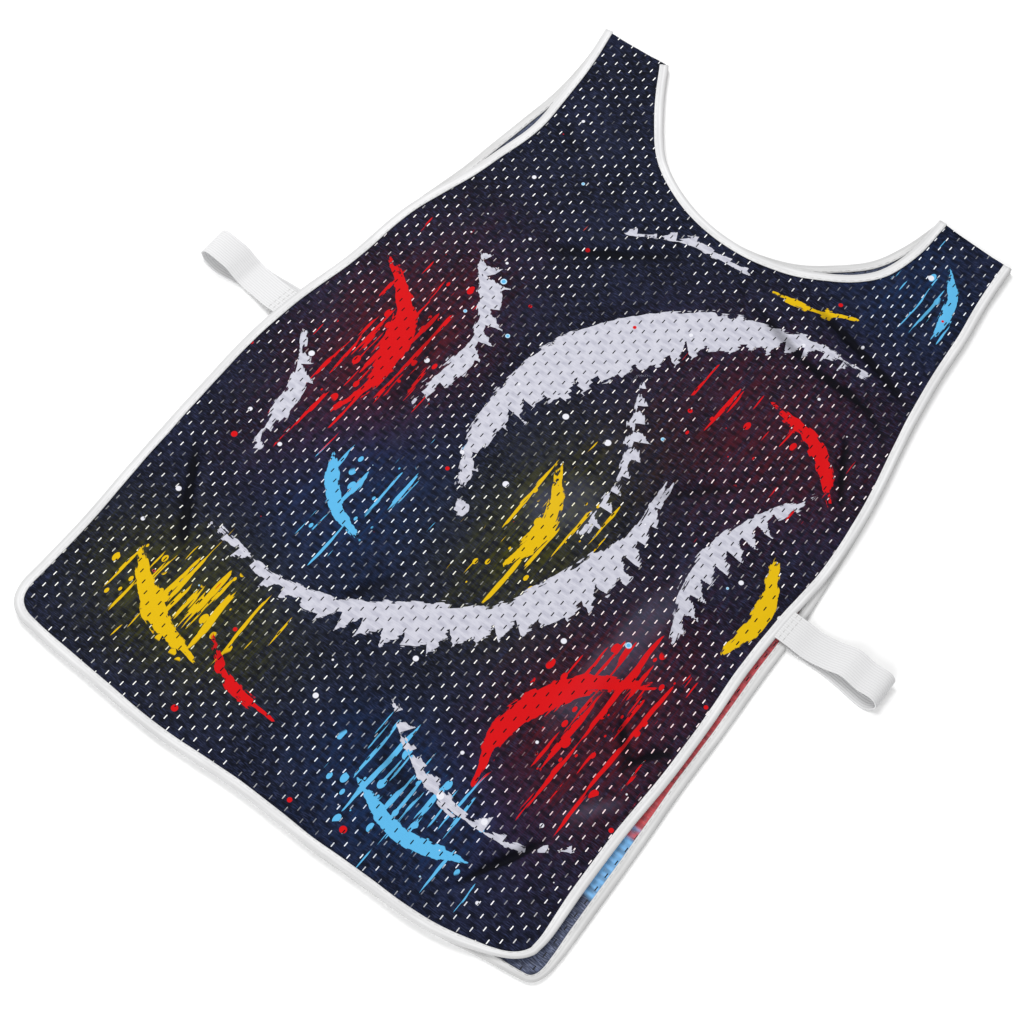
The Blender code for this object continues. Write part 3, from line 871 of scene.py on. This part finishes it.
def layPanel(name, outline, panel, materials):
    inTape, lowest = panel["inTape"], panel["lowest"]

    def shape(u, v):
        flat = patchPlaces(outline, u, v)
        fromEdge = np.minimum(distanceTo(flat, outline["edge"]),
                              distanceTo(flat, outline["neck"]))
        fromShoulder = garment["length"] - flat[:, 1]
        pastBorder = fromEdge - laying["flatBorder"]
        down = ease(pastBorder / (panel["settled"] - laying["flatBorder"]))
        loose = ease((fromEdge - laying["looseFrom"]) / laying["looseOver"])
        rise = panel["puff"] * down + creaseRise(flat, panel["creases"]) * loose
        for size, lift in panel["crumple"]:
            rise += lift * bumpy(flat, size, size) * loose
        height = inTape + (lowest - inTape) * down
        beside = (fromEdge - laying["puckerIn"]) / laying["puckerReach"]
        puckers = bumpy(flat, laying["puckerSize"], 3) * np.exp(-beside ** 2)
        # a dip goes no further down than the layer below
        dip = np.minimum(laying["room"] - (height - lowest), 0)
        height += np.maximum(rise, dip) + panel["puckers"] * puckers
        atSeam = inTape + (panel["atSeam"] - inTape) * ease(pastBorder / laying["seamStep"])
        height += (atSeam - height) * (1 - ease(fromShoulder / laying["seamFade"]))
        return np.column_stack([flat, np.maximum(height, lowest)]), flat

    made, flat = clothGrid(name, panel["across"], panel["along"], shape)
    addPrint(made, flat)
    # drives painted shade in the creases and painted highlight along the ridges, made uneven
    # with noise
    crease = creaseRise(flat, panel["creases"]) / laying["deepCrease"]
    crease += 0.25 * bumpy(flat, 38, 4) + 0.15 * bumpy(flat, 15, 4)
    made.attributes.new("crease", "FLOAT", "POINT").data.foreach_set("value", crease)
    return finished(name, made, materials, laying["cloth"], 1.0)


# Tape folded over each edge

tape = {
    "wall": 0.6,
    # how far in from the edge, height of the middle of the wall above the tape's underside
    "section": ((7.5, 0.35), (4.5, 0.35), (2.0, 0.36), (0.8, 0.72), (0.32, 1.5),
                (0.6, 2.28), (1.4, 2.70), (2.6, 2.78), (3.6, 2.64), (4.4, 2.60), (5.4, 2.72),
                (6.8, 2.62), (7.5, 2.2)),
    "sectionCells": 26,
    "frontBottom": 3.3,     # underside of the front's tape, above the floor
    "backBottom": 0.0,
    "step": 2.6,            # along the tape
    # size along the tape, and how much
    "waver": (26, 0.3),     # in its width
    "ripple": (8, 0.12),    # in its height
    "freeFrom": 3.0,        # only what lies further in wavers
    "upperFrom": 1.6,       # what lies higher is the upper layer
    # the cloth bulges over the tape round the right corners: place, reach, share
    "covered": {"front_edge": ((222, 34), 30.0, 0.42), "back_edge": ((240, 30), 26.0, 0.38)},
    # painted shade for the roll and the groove
    "paintedShade": "#9c9c9c",
    "rolled": 9.0,          # across the flat tape, where it turns over the edge
    "grooved": 12.6,
    "stitchIn": 6.3,        # from the edge
    "stitchStep": 3.1,
    "stitchLong": 1.7,
    "stitchWide": 0.36,
    "stitchHigh": 0.18,
    "stitchAt": 2.9,        # above the tape's underside
}


tapeSection = smoothLine(tape["section"], 6)
tapeWidth = travelled(tapeSection)[-1]


def shownShare(places, name):
    # how much of the tape's width shows
    shown = np.ones(len(places))
    for edge, (middle, reach, share) in tape["covered"].items():
        if name.startswith(edge):
            away = np.hypot(*(places - np.array(middle)).T) / reach
            shown -= share * np.exp(-away ** 2)
    return shown


def foldTape(name, path, bottom, material, seed):
    length = travelled(path)[-1]
    inward = inwardOf(path)
    (waverSize, waver), (rippleSize, ripple) = tape["waver"], tape["ripple"]

    def shape(u, v):
        place, across = pointsAt(path, u), pointsAt(path, u, inward)
        profile = pointsAt(tapeSection, v)
        run = np.column_stack([u * length, v * 0])
        free = profile[:, 0] > tape["freeFrom"]
        upper = profile[:, 1] > tape["upperFrom"]
        reach = profile[:, 0] + waver * bumpy(run, waverSize, seed) * free
        reach = np.where(upper, reach * shownShare(place, name), reach)
        spots = place + across * reach[:, None]
        rise = bottom + profile[:, 1] + ripple * bumpy(run, rippleSize, seed + 5) * upper
        return np.column_stack([spots, rise]), np.column_stack([u * length, v * tapeWidth])

    made, _ = clothGrid(name, int(length / tape["step"]), tape["sectionCells"], shape)
    return finished(name, made, [material], tape["wall"], 0.0)


def stitchAlong(name, places, heights, along, thread):
    # meant as one short stitch at each place, but duplicate mixes the corners of its copies,
    # so that neighbours come out joined in pairs
    bm = bmesh.new()
    bmesh.ops.create_uvsphere(bm, u_segments=6, v_segments=4, radius=1)
    corners = len(bm.verts)
    while len(bm.verts) < corners * len(places):
        bmesh.ops.duplicate(bm, geom=bm.verts[:] + bm.edges[:] + bm.faces[:])
    bm.verts.ensure_lookup_table()
    bmesh.ops.delete(bm, geom=bm.verts[corners * len(places):], context="VERTS")
    made = bpy.data.meshes.new(name)
    bm.to_mesh(made)
    bm.free()
    ball = np.empty(len(made.vertices) * 3)
    made.vertices.foreach_get("co", ball)
    ball = ball.reshape(len(places), corners, 3)
    ball *= (tape["stitchLong"] / 2, tape["stitchWide"] / 2, tape["stitchHigh"])
    side = np.column_stack([-along[:, 1], along[:, 0]])
    flat = places[:, None] + ball[..., :1] * along[:, None] + ball[..., 1:2] * side[:, None]
    flat[..., 1] -= garment["length"] / 2
    spots = np.concatenate([flat, ball[..., 2:] + heights[:, None, None]], axis=2)
    made.vertices.foreach_set("co", (spots * mm).ravel())
    made.update()
    return finished(name, made, [thread])


def stitchTape(name, path, bottom, thread):
    length = travelled(path)[-1]
    count = int(length / tape["stitchStep"])
    shares = (np.arange(count) + 0.5) / count
    inward = pointsAt(path, shares, inwardOf(path))
    places = pointsAt(path, shares)
    places += inward * (tape["stitchIn"] * shownShare(places, name))[:, None]
    along = np.column_stack([inward[:, 1], -inward[:, 0]])
    return stitchAlong(name, places, np.full(count, bottom + tape["stitchAt"]), along, thread)


# Elastic loops

elastic = {
    "wall": 1.0,
    "width": 25.5,
    "outward": 81,          # about how far a loop stands out
    "ribs": 13,
    "ribHeight": 0.05,
    "ribStep": 2.0,         # for the shading of the ribs and of the cross threads
    "pickStep": 0.8,
    "dull": "#cfcfd0",
    "light": "#dbdbdc",
    "grain": "#c4c4c5",
    "cellsRound": 150,
    "cellsAcross": 84,
    "tuck": 1.5,            # how far its ends go into the tape
    "tackStitches": 10,
    "tackMargin": 1.5,      # from the edges of the strap
    "tackOut": (1.6, 5.4),  # from the edge of the cloth
    "footRows": 4,
    # its side, the place of its tip across, its middle above the hem
    "leftLoop": (-1, 326.0, 340),
    "rightLoop": (1, 320.5, 349),
    # outward share, height of the middle of the wall, shift towards the shoulders
    "left": ((0, 5.8, -.5), (.14, 5.2, 0), (.3, 3.4, 2), (.48, 2.8, 4), (.58, 6.2, 5),
             (.67, 10, 6), (.76, 12.2, 6), (.86, 13.2, 6.5), (.93, 12.2, 7),
             (.98, 9.2, 7), (1, 5.8, 6.5), (.985, 3.2, 6), (.94, 1.4, 4.6),
             (.81, .6, 2.5), (.67, .6, 2.8), (.5, .6, 4.4), (.34, .6, 4), (.14, 1, 5),
             (0, 1.9, 5)),
    "right": ((0, 5.8, 0), (.15, 5.3, -.3), (.3, 3.7, -.5), (.48, 4.8, 1.2), (.63, 9, 2.3),
              (.79, 8.4, .6), (.9, 9.6, .4), (.955, 9, .2), (.99, 6.8, -.6),
              (1, 4.4, -1.6), (.98, 2.3, -3), (.94, 1.1, -5), (.88, .6, -5.9),
              (.79, .6, -5.5), (.6, .6, -3.1), (.42, .6, -1.7), (.14, 1, -1.2),
              (0, 1.9, -1.2)),
}


def edgeAt(line, side, height):
    flank = line[line[:, 0] * side > garment["flank"]]
    order = np.argsort(flank[:, 1])
    return np.interp(height, flank[order, 1], flank[order, 0])


def loopStrap(name, hand, frontEdge, backEdge, material):
    # the strap, and its length along its middle line
    side, reach, middle = elastic[hand + "Loop"]
    outline = smoothLine([(share * elastic["outward"], height, shift)
                          for share, height, shift in elastic[hand]])
    travel = travelled(outline)[-1]

    def shape(u, v):
        spot = pointsAt(outline, u)
        slope = pointsAt(outline, u, np.gradient(outline[:, :2], axis=0))
        slope /= np.linalg.norm(slope, axis=1)[:, None]
        rib = elastic["ribHeight"] * np.cos(2 * math.pi * elastic["ribs"] * v)
        level = middle + spot[:, 2] + (v - 0.5) * elastic["width"]
        start = np.where(u < 0.5, edgeAt(frontEdge, side, level), edgeAt(backEdge, side, level))
        start = start - side * elastic["tuck"]
        tip = side * (reach - elastic["wall"] / 2)
        share = (spot[:, 0] - slope[:, 1] * rib) / elastic["outward"]
        x = start + (tip - start) * share
        z = np.maximum(spot[:, 1] + slope[:, 0] * rib, elastic["wall"] / 2)
        flat = np.column_stack([u * travel, v * elastic["width"]])
        return np.column_stack([x, level, z]), flat

    made, _ = clothGrid(name, elastic["cellsRound"], elastic["cellsAcross"], shape)
    middleLine, _ = shape(np.linspace(0, 1, 200), np.full(200, 0.5))
    strap = finished(name, made, [material], elastic["wall"], 0.0)
    return strap, travelled(middleLine)[-1]


def barTack(name, hand, frontEdge, thread):
    # two rows of stitches across the foot of a loop
    side, _, middle = elastic[hand + "Loop"]
    foot = elastic[hand][:elastic["footRows"]]
    count = elastic["tackStitches"]
    wide = elastic["width"] - 2 * elastic["tackMargin"]
    levels = middle + (np.arange(count) / (count - 1) - 0.5) * wide
    rowsOut = np.repeat(elastic["tackOut"], count)
    levels = np.tile(levels, len(elastic["tackOut"]))
    x = edgeAt(frontEdge, side, levels) + side * rowsOut
    outline = smoothLine([(share * elastic["outward"], height) for share, height, _ in foot])
    heights = np.interp(rowsOut, outline[:, 0], outline[:, 1]) + elastic["wall"] / 2
    along = np.tile((0.0, 1.0), (len(levels), 1))
    return stitchAlong(name, np.column_stack([x, levels]), heights, along, thread)


# The bib

addCamera()
addFloor()
addLight()
print("studio ready")

printed, faded = printedMesh(), fadedMesh()
ribbed = ribbedElastic()
whiteTape = wovenTape("white_tape", "#e2e2e3", "#d2d2d3")
shadedTape = wovenTape("shaded_tape", "#d8d8d8", "#c6c6c6")
paleThread = plainThread("pale_thread", "#c6c6c4")
greyThread = plainThread("grey_thread", "#9a9a98")
front = panelShape(garment["frontSides"], garment["frontHem"], garment["frontRightCorner"],
                   garment["frontNeck"])
back = panelShape(garment["backSides"], garment["backHem"], garment["backRightCorner"],
                  garment["backNeck"])
print("finishes ready")

frontCloth = layPanel("front_cloth", front, frontPanel, [printed, faded])
backCloth = layPanel("back_cloth", back, backPanel, [faded, printed])
print("panels laid")

tapes = (
    ("front_edge", front["edge"], tape["frontBottom"], whiteTape, paleThread, "front_cloth"),
    ("front_neck", front["neck"], tape["frontBottom"], whiteTape, paleThread, "front_cloth"),
    ("back_edge", back["edge"], tape["backBottom"], shadedTape, greyThread, "back_cloth"),
    ("back_neck", back["neck"], tape["backBottom"], shadedTape, greyThread, "back_cloth"),
)
for number, (name, path, bottom, weave, thread, cloth) in enumerate(tapes):
    binding = foldTape(name + "_tape", path, bottom, weave, 10.0 * number + 1)
    stitches = stitchTape(name + "_stitches", path, bottom, thread)
    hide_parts(name + "_binding")
print("tapes sewn")

for name in ("left", "right"):
    strap, length = loopStrap("elastic_loop_" + name, name, front["edge"], back["edge"], ribbed)
    tacks = barTack("loop_stitches_" + name, name, front["edge"], paleThread)
    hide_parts("elastic_" + name)
print("loops sewn")

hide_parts("front_panel")
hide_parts("back_panel")

print("bib ready")
